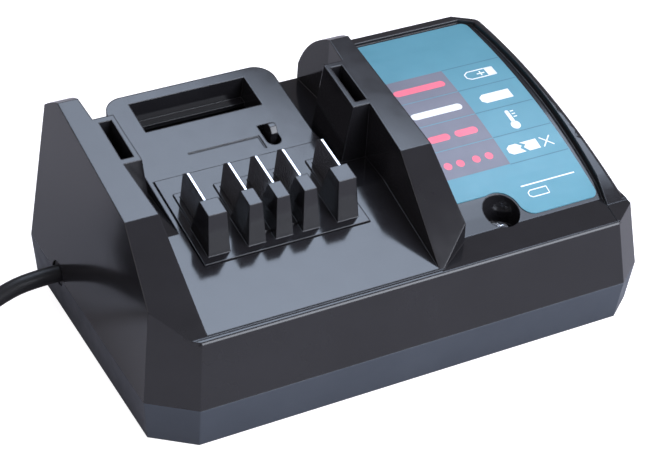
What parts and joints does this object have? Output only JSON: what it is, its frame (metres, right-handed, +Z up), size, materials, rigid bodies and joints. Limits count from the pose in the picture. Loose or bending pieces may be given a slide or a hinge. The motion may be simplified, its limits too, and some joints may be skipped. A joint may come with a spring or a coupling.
{
  "type": "power tool battery charger",
  "caption": "Desk-top battery charger with a sloping slide-in bay, blade contacts between guide rails, a curved printed panel and a coiled mains cord.",
  "frame": {"origin": "middle of the housing's outline, on the table it stands on", "axes": "+X to the right along the housing's long side, -Y out of the front where a battery slides on, +Z up"},
  "size_m": [0.2977, 0.1405, 0.0719],
  "materials": {
    "case_plastic": "gloss",
    "base_plastic": "satin",
    "inner_plastic": "satin",
    "switch_red": "satin",
    "contact_metal": "satin",
    "screw_steel": "polished",
    "label_print": "printed sheet, gloss",
    "clear_plastic": "clear",
    "board_green": "satin",
    "ceramic": "satin",
    "ferrite": "matte",
    "copper_wire": "enamelled",
    "winding_tape": "gloss tape",
    "film_yellow": "gloss",
    "moulded_black": "satin",
    "can_sleeve": "gloss sleeve",
    "aluminium": "satin",
    "lead_brown": "satin insulation",
    "lead_red": "satin insulation",
    "lead_black": "satin insulation",
    "cord_rubber": "satin",
    "plug_plastic": "satin",
    "pin_brass": "nickel plated",
    "tie_fabric": "woven"
  },
  "bodies": {
    "housing": {"base_cover": "base_plastic", "upper_case": "case_plastic", "terminal_block": "case_plastic", "terminal_1": "contact_metal", "terminal_2": "contact_metal", "terminal_3": "contact_metal", "terminal_4": "contact_metal", "terminal_5": "contact_metal", "lever_pin": "screw_steel", "sense_bracket": "inner_plastic", "sense_switch": "moulded_black", "label_sheet": "label_print", "light_guide": "clear_plastic", "top_screw": "screw_steel", "case_screws": "screw_steel", "circuit_board": "board_green", "board_screws": "screw_steel", "mains_leads": "lead_brown", "terminal_leads": "lead_red", "switch_leads": "lead_black", "fuse": "ceramic", "fuse_clips": "screw_steel", "line_choke": "copper_wire", "film_capacitor": "film_yellow", "bridge_rectifier": "moulded_black", "bulk_capacitor": "can_sleeve", "power_transistor": "moulded_black", "primary_heat_sink": "aluminium", "transformer_core": "ferrite", "transformer_winding": "winding_tape", "output_diode": "moulded_black", "output_heat_sink": "aluminium", "output_capacitors": "can_sleeve", "control_chip": "moulded_black", "optocoupler": "ceramic", "status_led": "clear_plastic", "cord_bushing": "cord_rubber", "power_cord": "cord_rubber", "cord_coil": "cord_rubber", "cord_tie": "tie_fabric", "plug_body": "plug_plastic", "plug_pins": "pin_brass"},
    "lever": {"sense_lever": "inner_plastic"},
    "button": {"switch_button": "switch_red"}
  },
  "joints": [
    {"name": "lever_hinge", "type": "hinge", "parent": "housing", "child": "lever", "pos_m": [-0.013, 0.03187, 0.04622], "axis": [1, 0, 0], "range_deg": [0, 15], "stiffness_Nm_per_rad": 0.0004, "springref_deg": -8.59},
    {"name": "button_slide", "type": "slide", "parent": "housing", "child": "button", "axis": [0, 0.165, -0.9863], "range_m": [0, 0.0015]}
  ],
  "couplings": [
    {"joint": "lever_hinge", "follows": "button_slide", "rad_per_m": 172.41}
  ]
}
